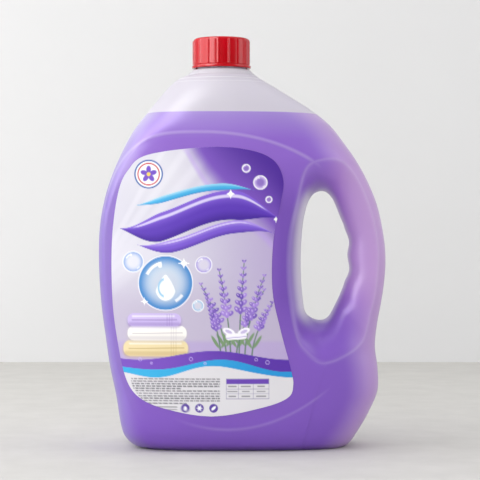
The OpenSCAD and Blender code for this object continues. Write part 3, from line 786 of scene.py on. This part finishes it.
def paint_label(a, b):
    """The whole print, from the ground up."""
    p = Print(a, b)
    rng = np.random.default_rng(7)
    paint_ground(p)
    ribbon(p, 45, 9, 21, 0.6, 10.5, 60, -2, 34, ((92, 56, 180), (132, 96, 214), (66, 34, 148)))
    ribbon(p, 31.5, 7.5, 19, 0.1, 4.8, 52, 2, 30, ((122, 88, 206), (170, 142, 232), (88, 54, 172)))
    ribbon(p, 60, 7, 24, 0.9, 2.6, 46, -6, 26, ((70, 176, 226), (150, 216, 242), (44, 140, 208)))
    paint_mark(p, -38, 76)
    for x, y, r, tint, deep in (
            (-26, -1, 19.5, (198, 230, 246), (22, 128, 202)),
            (-49, 14, 7.5, (236, 242, 252), (120, 160, 224)),
            (1, 12, 6, (240, 236, 252), (150, 130, 220)), (-3, -17, 4.2, (236, 246, 252), (86, 172, 224)),
            (41, 70, 5, (196, 170, 236), (226, 212, 250)), (31, 80, 3, (186, 156, 232), (222, 206, 250)),
            (47, 58, 2.4, (196, 170, 236), (222, 206, 250))):
        bubble(p, x, y, r, tint, deep)
    paint_drop(p, -26, -3)
    for x, y, r in ((-13, 13, 5), (-41, -14, 3.4), (20, 62, 4.4), (52, 44, 3)):
        sparkle(p, x, y, r)
    p.lay((182, 160, 214), 0.6 * smooth((-b - 40) / 4) * smooth((b + 60) / 4))
    towel(p, -33, -47, 46, 11.5, (238, 220, 172), (196, 168, 112))
    towel(p, -32, -36.4, 42, 10.5, (250, 247, 242), (198, 190, 196))
    towel(p, -34, -27, 38, 9.2, (206, 188, 236), (140, 112, 190))
    for x, lean, tall, size in ((24, 0.95, 46, 3.0), (17, -0.8, 50, 3.1), (30, 0.55, 56, 3.2),
                                (20, -0.3, 60, 3.3), (26, 0.12, 66, 3.5), (13, -0.55, 40, 2.9),
                                (35, 0.9, 40, 2.8)):
        sprig(p, x, -52, lean, tall, size, rng)
    paint_bow(p, 24, -38.5)
    paint_bands(p)
    paint_rows(p, rng, -68.6)
    paint_table(p, -68.6)
    paint_icons(p, -89.2)
    return p.rgb


def label_sheet(nu=300, nv=322, back_nu=60, back_nv=64, rim_n=700):
    """The label film: a front sheet label gap and thickness off the panel, a coarser back, and a rim."""
    outside = LABEL_GAP + LABEL_T
    x, z = label_grid(nu, nv)
    front = np.stack([x, -panel(x, outside), z], -1).reshape(-1, 3)
    x, z = label_grid(back_nu, back_nv)
    back = np.stack([x, -panel(x, LABEL_GAP), z], -1).reshape(-1, 3)
    edge = label_outline(rim_n)
    y = -panel(edge[:, :1], np.array([[LABEL_GAP, outside]]))
    rim = np.stack([edge[:, :1] + 0 * y, y, edge[:, 1:] + 0 * y], -1).reshape(-1, 3)
    ob = join_grids("label_film", [
        (front, grid_faces(nu, nv, flip=True)), (back, grid_faces(back_nu, back_nv)),
        (rim, grid_faces(rim_n, 2, close_u=True, flip=True))])
    p = points_of(ob)
    rgba = np.ones((len(p), 4), np.float32)
    rgba[:, :3] = paint_label(p[:, 0] - LABEL_X, p[:, 2] - LABEL_Z)
    rgba[len(front):, :3] = srgb(240, 238, 245)
    ob.data.attributes.new("print", "FLOAT_COLOR", "POINT").data.foreach_set("color", rgba.ravel())
    return ob


label = label_sheet()

# Materials

THIN_COLOURS = [(0.0, (160, 117, 220)), (0.35, (182, 132, 224)), (0.75, (212, 172, 232))]
# Places of the moulded lines, in metres: a bump raises them and they carry a painted highlight
RING_HEIGHTS, RING_LINE_W = (0.2673, 0.2646), 0.0005
PANEL_X, PANEL_Z, PANEL_LEFT_W, PANEL_RIGHT_W, PANEL_UP_H = -0.028, 0.15, 0.073, 0.114, 0.0768
ARC_X, ARC_Z, ARC_BEND, ARC_W = -0.011, 0.0164, 5.5, 0.0018


def rgba(*c):
    """A screen colour as four linear values."""
    return (*srgb(*c), 1)


class Shade:
    """The node tree of a material or the world."""

    def __init__(self, block):
        self.block = block
        block.use_nodes = True
        self.nodes = block.node_tree.nodes
        self.nodes.clear()

    def add(self, kind, values=(), **settings):
        """A new node; each of its values is set, or linked where it is an output."""
        n = self.nodes.new("ShaderNode" + kind)
        for key, value in settings.items():
            setattr(n, key, value)
        for key, value in dict(values).items():
            if isinstance(value, bpy.types.NodeSocket):
                self.block.node_tree.links.new(value, n.inputs[key])
            else:
                n.inputs[key].default_value = value
        return n

    def node(self, kind, values=(), out=0, **settings):
        """A new node's output."""
        return self.add(kind, values, **settings).outputs[out]

    def finish(self, shader, kind="OutputMaterial"):
        self.add(kind, {"Surface": shader})
        return self.block

    def place(self, axis):
        """One object coordinate, in metres."""
        return self.node("SeparateXYZ", {0: self.node("TexCoord", out="Object")}, axis)

    def noise(self, scale, detail=3.0, rough=0.5, stretch=(1, 1, 1)):
        """Noise on object coordinates, scale in cells a metre, stretched along each axis."""
        way = self.node("Mapping", {"Vector": self.node("TexCoord", out="Object"), "Scale": stretch})
        return self.node("TexNoise", {"Vector": way, "Scale": scale, "Detail": detail, "Roughness": rough})

    def ramp(self, source, stops):
        """A colour ramp: stops are (place, colour as on a screen)."""
        n = self.add("ValToRGB", {"Fac": source})
        while len(n.color_ramp.elements) < len(stops):
            n.color_ramp.elements.new(0.5)
        for e, (at, colour) in zip(n.color_ramp.elements, stops):
            e.position, e.color = at, rgba(*colour)
        return n.outputs["Color"]

    def span(self, source, low, high, a, b):
        """source from low to high turned into a to b."""
        return self.node("MapRange", {
            "Value": source, "From Min": low, "From Max": high, "To Min": a, "To Max": b})

    def mix_colour(self, share, a, b):
        """Colour a at share 0 and b at share 1."""
        return self.node("Mix", {0: share, 6: a, 7: b}, 2, data_type="RGBA")

    def math(self, operation, a, b=0.0):
        """Two numbers put together by a Math node."""
        return self.node("Math", {0: a, 1: b}, operation=operation)

    def times(self, a, b):
        return self.math("MULTIPLY", a, b)

    def off(self, value, at):
        """How far value is from at."""
        return self.math("ABSOLUTE", self.math("ADD", value, -at))

    def line_at(self, value, at, width):
        """1 where value is at, falling to 0 at width on either side."""
        return self.span(self.off(value, at), 0, width, 1, 0)

    def power(self, value, part, exponent):
        """value * part to the power exponent, and 0 where that is negative."""
        return self.math("POWER", self.math("MAXIMUM", self.times(value, part), 0.0), exponent)

    def attribute(self, name, out="Fac"):
        return self.node("Attribute", out=out, attribute_name=name)

    def bump(self, height, distance, strength, **more):
        return self.node("Bump", {"Height": height, "Distance": distance, "Strength": strength, **more})

    def liquid_colour_and_painted_light(self, x, z):
        """The detergent's violet: paler and rosier where it lies thin; deeper at the base and beside the
        hand hole, both painted shade; hazier under its surface and at the left shoulder, painted highlight;
        and greyer at the outline, partly for the thinner liquid there and partly a painted reflection."""
        thin = self.attribute("thin")
        # Painted shade: darker violet towards the base, where the thick liquid gets less light from above
        deep = self.times(self.span(z, 0.0, 0.2, 1, 0), self.span(thin, 0, 0.6, 1, 0))
        body = self.mix_colour(deep, self.ramp(thin, THIN_COLOURS), rgba(140, 95, 207))
        # Painted highlight: paler and hazier just under the liquid's surface
        body = self.mix_colour(self.span(z, 0.222, FILL_H * MM, 0, 0.3), body, rgba(206, 202, 226))
        # Painted shade: deeper violet next to the hand hole, where the flank lies in shade
        beside = self.times(self.span(self.off(x, 0.031), 0.004, 0.018, 1, 0),
                            self.span(self.off(z, 0.14), 0.03, 0.07, 0.75, 0))
        body = self.mix_colour(beside, body, rgba(124, 84, 190))
        # At the outline: partly thinner liquid, partly painted reflection, with a painted highlight up the
        # left shoulder
        left = self.mix_colour(self.span(z, 0.18, 0.235, 0, 0.8), rgba(150, 132, 204), rgba(212, 210, 232))
        edge = self.mix_colour(self.span(x, -0.09, 0.09, 0, 1), left, rgba(212, 176, 228))
        return self.mix_colour(self.times(self.attribute("rim"), 0.85), body, edge)

    def panel_edge(self, x, z):
        """The panel's upper edge, where L + R + U = 1. L is the share of PANEL_LEFT_W to the left of
        PANEL_X, to the power 3.5. R, of PANEL_RIGHT_W to its right, and U, of PANEL_UP_H above PANEL_Z, are
        squared."""
        dx = self.math("ADD", x, -PANEL_X)
        left = self.power(dx, -1 / PANEL_LEFT_W, 3.5)
        right = self.power(dx, 1 / PANEL_RIGHT_W, 2.0)
        up = self.power(self.math("ADD", z, -PANEL_Z), 1 / PANEL_UP_H, 2.0)
        total = self.math("ADD", self.math("ADD", left, right), up)
        ends = self.times(self.span(z, 0.16, 0.19, 0, 1), self.span(x, 0.046, 0.056, 1, 0))
        return self.times(self.line_at(total, 1.0, 0.045), ends)

    def low_arc(self, x, z):
        """A faint arc under the label: z = ARC_Z + (x - ARC_X)^2 * ARC_BEND, fading at both ends."""
        dx = self.math("ADD", x, -ARC_X)
        over = self.math("SUBTRACT", z, self.times(self.times(dx, dx), ARC_BEND))
        ends = self.times(self.span(x, -0.05, -0.02, 0, 1), self.span(x, 0.05, 0.063, 1, 0))
        return self.times(self.line_at(over, ARC_Z, ARC_W), ends)


def material(name):
    return Shade(bpy.data.materials.new(name))


def milky_plastic():
    """Thin blown polythene, part clear and part scattering: white above the liquid, violet where wet, paler
    at the hand hole, partly for the bare wall and partly as painted light, with painted highlights on the
    moulded lines, which a bump also raises, and a soft gloss over flow lines and orange peel."""
    s = material("milky_plastic")
    x, z = s.place("X"), s.place("Z")
    wet = s.span(z, (FILL_H + 0.25) * MM, (FILL_H - 0.25) * MM, 0, 1)
    high, low = (s.line_at(z, height, RING_LINE_W) for height in RING_HEIGHTS)
    ring_ridges_and_highlights = s.math("MAXIMUM", high, s.times(low, 0.5))
    lines = s.math("MAXIMUM", s.panel_edge(x, z), s.times(s.low_arc(x, z), 0.5))
    lines = s.math("MAXIMUM", lines, s.times(s.attribute("scoop_ridge_and_highlight"), 0.6))
    colour = s.mix_colour(wet, rgba(231, 228, 233), s.liquid_colour_and_painted_light(x, z))
    # Paler flank at the hand hole: partly the bare wall, partly painted light where the flank lies in shade
    colour = s.mix_colour(s.times(s.attribute("hole"), 0.9), colour, rgba(251, 246, 255))
    # Painted highlight along the panel's edge, the arc under the label and the scoop's edge
    colour = s.mix_colour(s.times(lines, 0.3), colour, rgba(236, 226, 250))
    # Painted highlight: white lines on the neck's ledges, which the bump also raises
    colour = s.mix_colour(ring_ridges_and_highlights, colour, (1, 1, 1, 1))
    raised_lines = s.bump(s.math("MAXIMUM", lines, ring_ridges_and_highlights), 0.0004, 0.6)
    body = s.node("BsdfPrincipled", {
        "Base Color": colour, "Roughness": s.span(s.noise(22, 4, 0.55, (1, 1, 0.4)), 0.3, 0.7, 0.28, 0.38),
        "Normal": s.bump(s.noise(420, 2), 0.0001, 0.3, Normal=raised_lines), "IOR": 1.5,
        "Specular IOR Level": 0.4, "Coat Weight": 0.3, "Coat Roughness": 0.2, "Coat IOR": 1.4})
    glow = s.node("BsdfTranslucent", {"Color": colour})
    scatter = s.node("MixShader", {0: s.span(wet, 0, 1, 0.3, 0.08), 1: body, 2: glow})
    clear = s.node("BsdfTransparent", {"Color": (0.98, 0.97, 0.99, 1)})
    outside = s.span(wet, 0, 1, 0.88, 0.8)
    cover = s.node("Mix", {0: s.attribute("inner"), 2: outside, 3: 0.06}, data_type="FLOAT")
    return s.finish(s.node("MixShader", {0: cover, 1: clear, 2: scatter}))


def violet_liquid():
    """The detergent behind the wall, with light scattered in it."""
    s = material("violet_liquid")
    colour = s.node("HueSaturation", {
        "Saturation": s.span(s.noise(14, 2), 0.3, 0.7, 0.98, 1.02),
        "Color": s.liquid_colour_and_painted_light(s.place("X"), s.place("Z"))})
    return s.finish(s.node("BsdfPrincipled", {
        "Base Color": colour, "Roughness": 0.6, "Subsurface Weight": 0.4, "Subsurface Scale": 0.012,
        "Subsurface Radius": (1.0, 0.7, 1.2), "Specular IOR Level": 0.1}))


def red_plastic():
    """Glossy red cap plastic with fine moulding grain and a slight change of tone."""
    s = material("red_plastic")
    return s.finish(s.node("BsdfPrincipled", {
        "Base Color": s.ramp(s.noise(60), [(0.3, (182, 0, 16)), (0.7, (192, 1, 22))]),
        "Roughness": s.span(s.noise(300, 2), 0.3, 0.7, 0.13, 0.19),
        "Normal": s.bump(s.noise(1500, 2, 0.6), 0.00005, 0.2), "IOR": 1.5, "Specular IOR Level": 0.4}))


def printed_film():
    """The label: its print under a clear film with a soft gloss and very slight waviness."""
    s = material("printed_film")
    return s.finish(s.node("BsdfPrincipled", {
        "Base Color": s.attribute("print", "Color"),
        "Roughness": s.span(s.noise(90), 0.3, 0.7, 0.34, 0.46),
        "Normal": s.bump(s.noise(30), 0.0004, 0.15), "IOR": 1.5, "Specular IOR Level": 0.25,
        "Coat Weight": 0.1, "Coat Roughness": 0.2}))


def white_foam():
    """Foamed liner: off white, with fine closed cells."""
    s = material("white_foam")
    cells = s.node("TexVoronoi", {"Scale": 900.0, "Vector": s.node("TexCoord", out="Object")}, "Distance")
    return s.finish(s.node("BsdfPrincipled", {
        "Base Color": s.ramp(s.noise(80), [(0.3, (232, 231, 226)), (0.7, (240, 240, 236))]),
        "Roughness": 0.75, "Normal": s.bump(cells, 0.0001, 0.4)}))


def pale_surface(name, light, dark, scale):
    """A plain pale studio surface with a faint mottle."""
    s = material(name)
    tone = s.ramp(s.noise(scale, 5, 0.6), [(0.3, dark), (0.7, light)])
    return s.finish(s.node("BsdfPrincipled", {"Base Color": tone, "Roughness": 0.7}))


for ob, mat, node, slot, body in (
        (bottle, milky_plastic(), "bottle", "milky_plastic", "shell"),
        (detergent, violet_liquid(), "detergent", "detergent", "shell"),
        (label, printed_film(), "front_label", "label_film", "shell"),
        (cap, red_plastic(), "screw_cap", "red_plastic", "cap"),
        (liner, white_foam(), "cap_liner", "white_foam", "liner")):
    ob.data.materials.append(mat)
    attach(ob, body)
    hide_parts(node)

# Stage, light and camera

def plane(name, corners, mat):
    """A four-cornered sheet of the stage."""
    ob = make_mesh(name, np.array(corners, float) / MM, np.array([[0, 1, 2, 3]]), sharp=True)
    ob.data.materials.append(mat)
    return ob


WALL_Y = 0.781
floor = plane("floor", [(-3, -3, 0), (3, -3, 0), (3, 3, 0), (-3, 3, 0)],
              pale_surface("pale_floor", (200, 198, 193), (192, 190, 185), 30))
wall = plane("backdrop", [(-0.5, WALL_Y, 0), (0.5, WALL_Y, 0), (0.5, WALL_Y, 0.9), (-0.5, WALL_Y, 0.9)],
             pale_surface("pale_wall", (221, 221, 221), (218, 218, 218), 3))


def softbox(name, at, target, size, power):
    """A lamp of the given width and height that faces target."""
    lamp = bpy.data.lights.new(name, "AREA")
    lamp.shape, lamp.size, lamp.size_y = "RECTANGLE", *size
    lamp.energy = power
    ob = bpy.data.objects.new(name, lamp)
    ob.location = at
    ob.rotation_euler = (Vector(target) - Vector(at)).to_track_quat("-Z", "Y").to_euler()
    scene.collection.objects.link(ob)
    return ob


softbox("window", (-1.3, -0.25, 0.8), (0, -0.1, 0.35), (1.5, 1.3), 20)
softbox("side", (1.5, -0.3, 0.7), (0, 0, 0.2), (1.1, 1.2), 8)
softbox("above", (0, 0.25, 1.7), (0, 0.25, 0), (1.8, 1.6), 8)
softbox("front", (-0.4, -2.0, 0.9), (0, 0, 0.15), (1.8, 1.4), 22).visible_glossy = False
softbox("strip", (-0.84, -0.8, 0.98), (-0.06, 0, 0.25), (0.9, 2.0), 40).visible_diffuse = False

# Soft light from all round: its strength goes with the direction's Y, from 0.05 on the camera's side to
# 0.72 behind the bottle
world = Shade(bpy.data.worlds.new("studio"))
way_y = world.node("SeparateXYZ", {0: world.node("TexCoord", out="Generated")}, "Y")
strength = world.span(way_y, -1.0, 0.4, 0.05, 0.72)
background = world.node("Background", {"Color": (0.95, 0.96, 1.0, 1), "Strength": strength})
scene.world = world.finish(background, "OutputWorld")
scene.view_settings.view_transform = "Standard"

# The camera stands level, and its view is shifted by 9.3 of the picture's 480 pixels
CAMERA_AT, VIEW_ANGLE, SENSOR_W, SHIFT_Y = (-0.0024, -1.235, 0.157), 16.2, 36, -9.3 / 480
camera_data = bpy.data.cameras.new("camera")
camera_data.sensor_width = SENSOR_W
camera_data.lens = SENSOR_W / (2 * math.tan(math.radians(VIEW_ANGLE) / 2))
camera_data.shift_y = SHIFT_Y
camera = bpy.data.objects.new("camera", camera_data)
camera.location = CAMERA_AT
camera.rotation_euler = (math.radians(90), 0, 0)
scene.collection.objects.link(camera)
scene.camera = camera
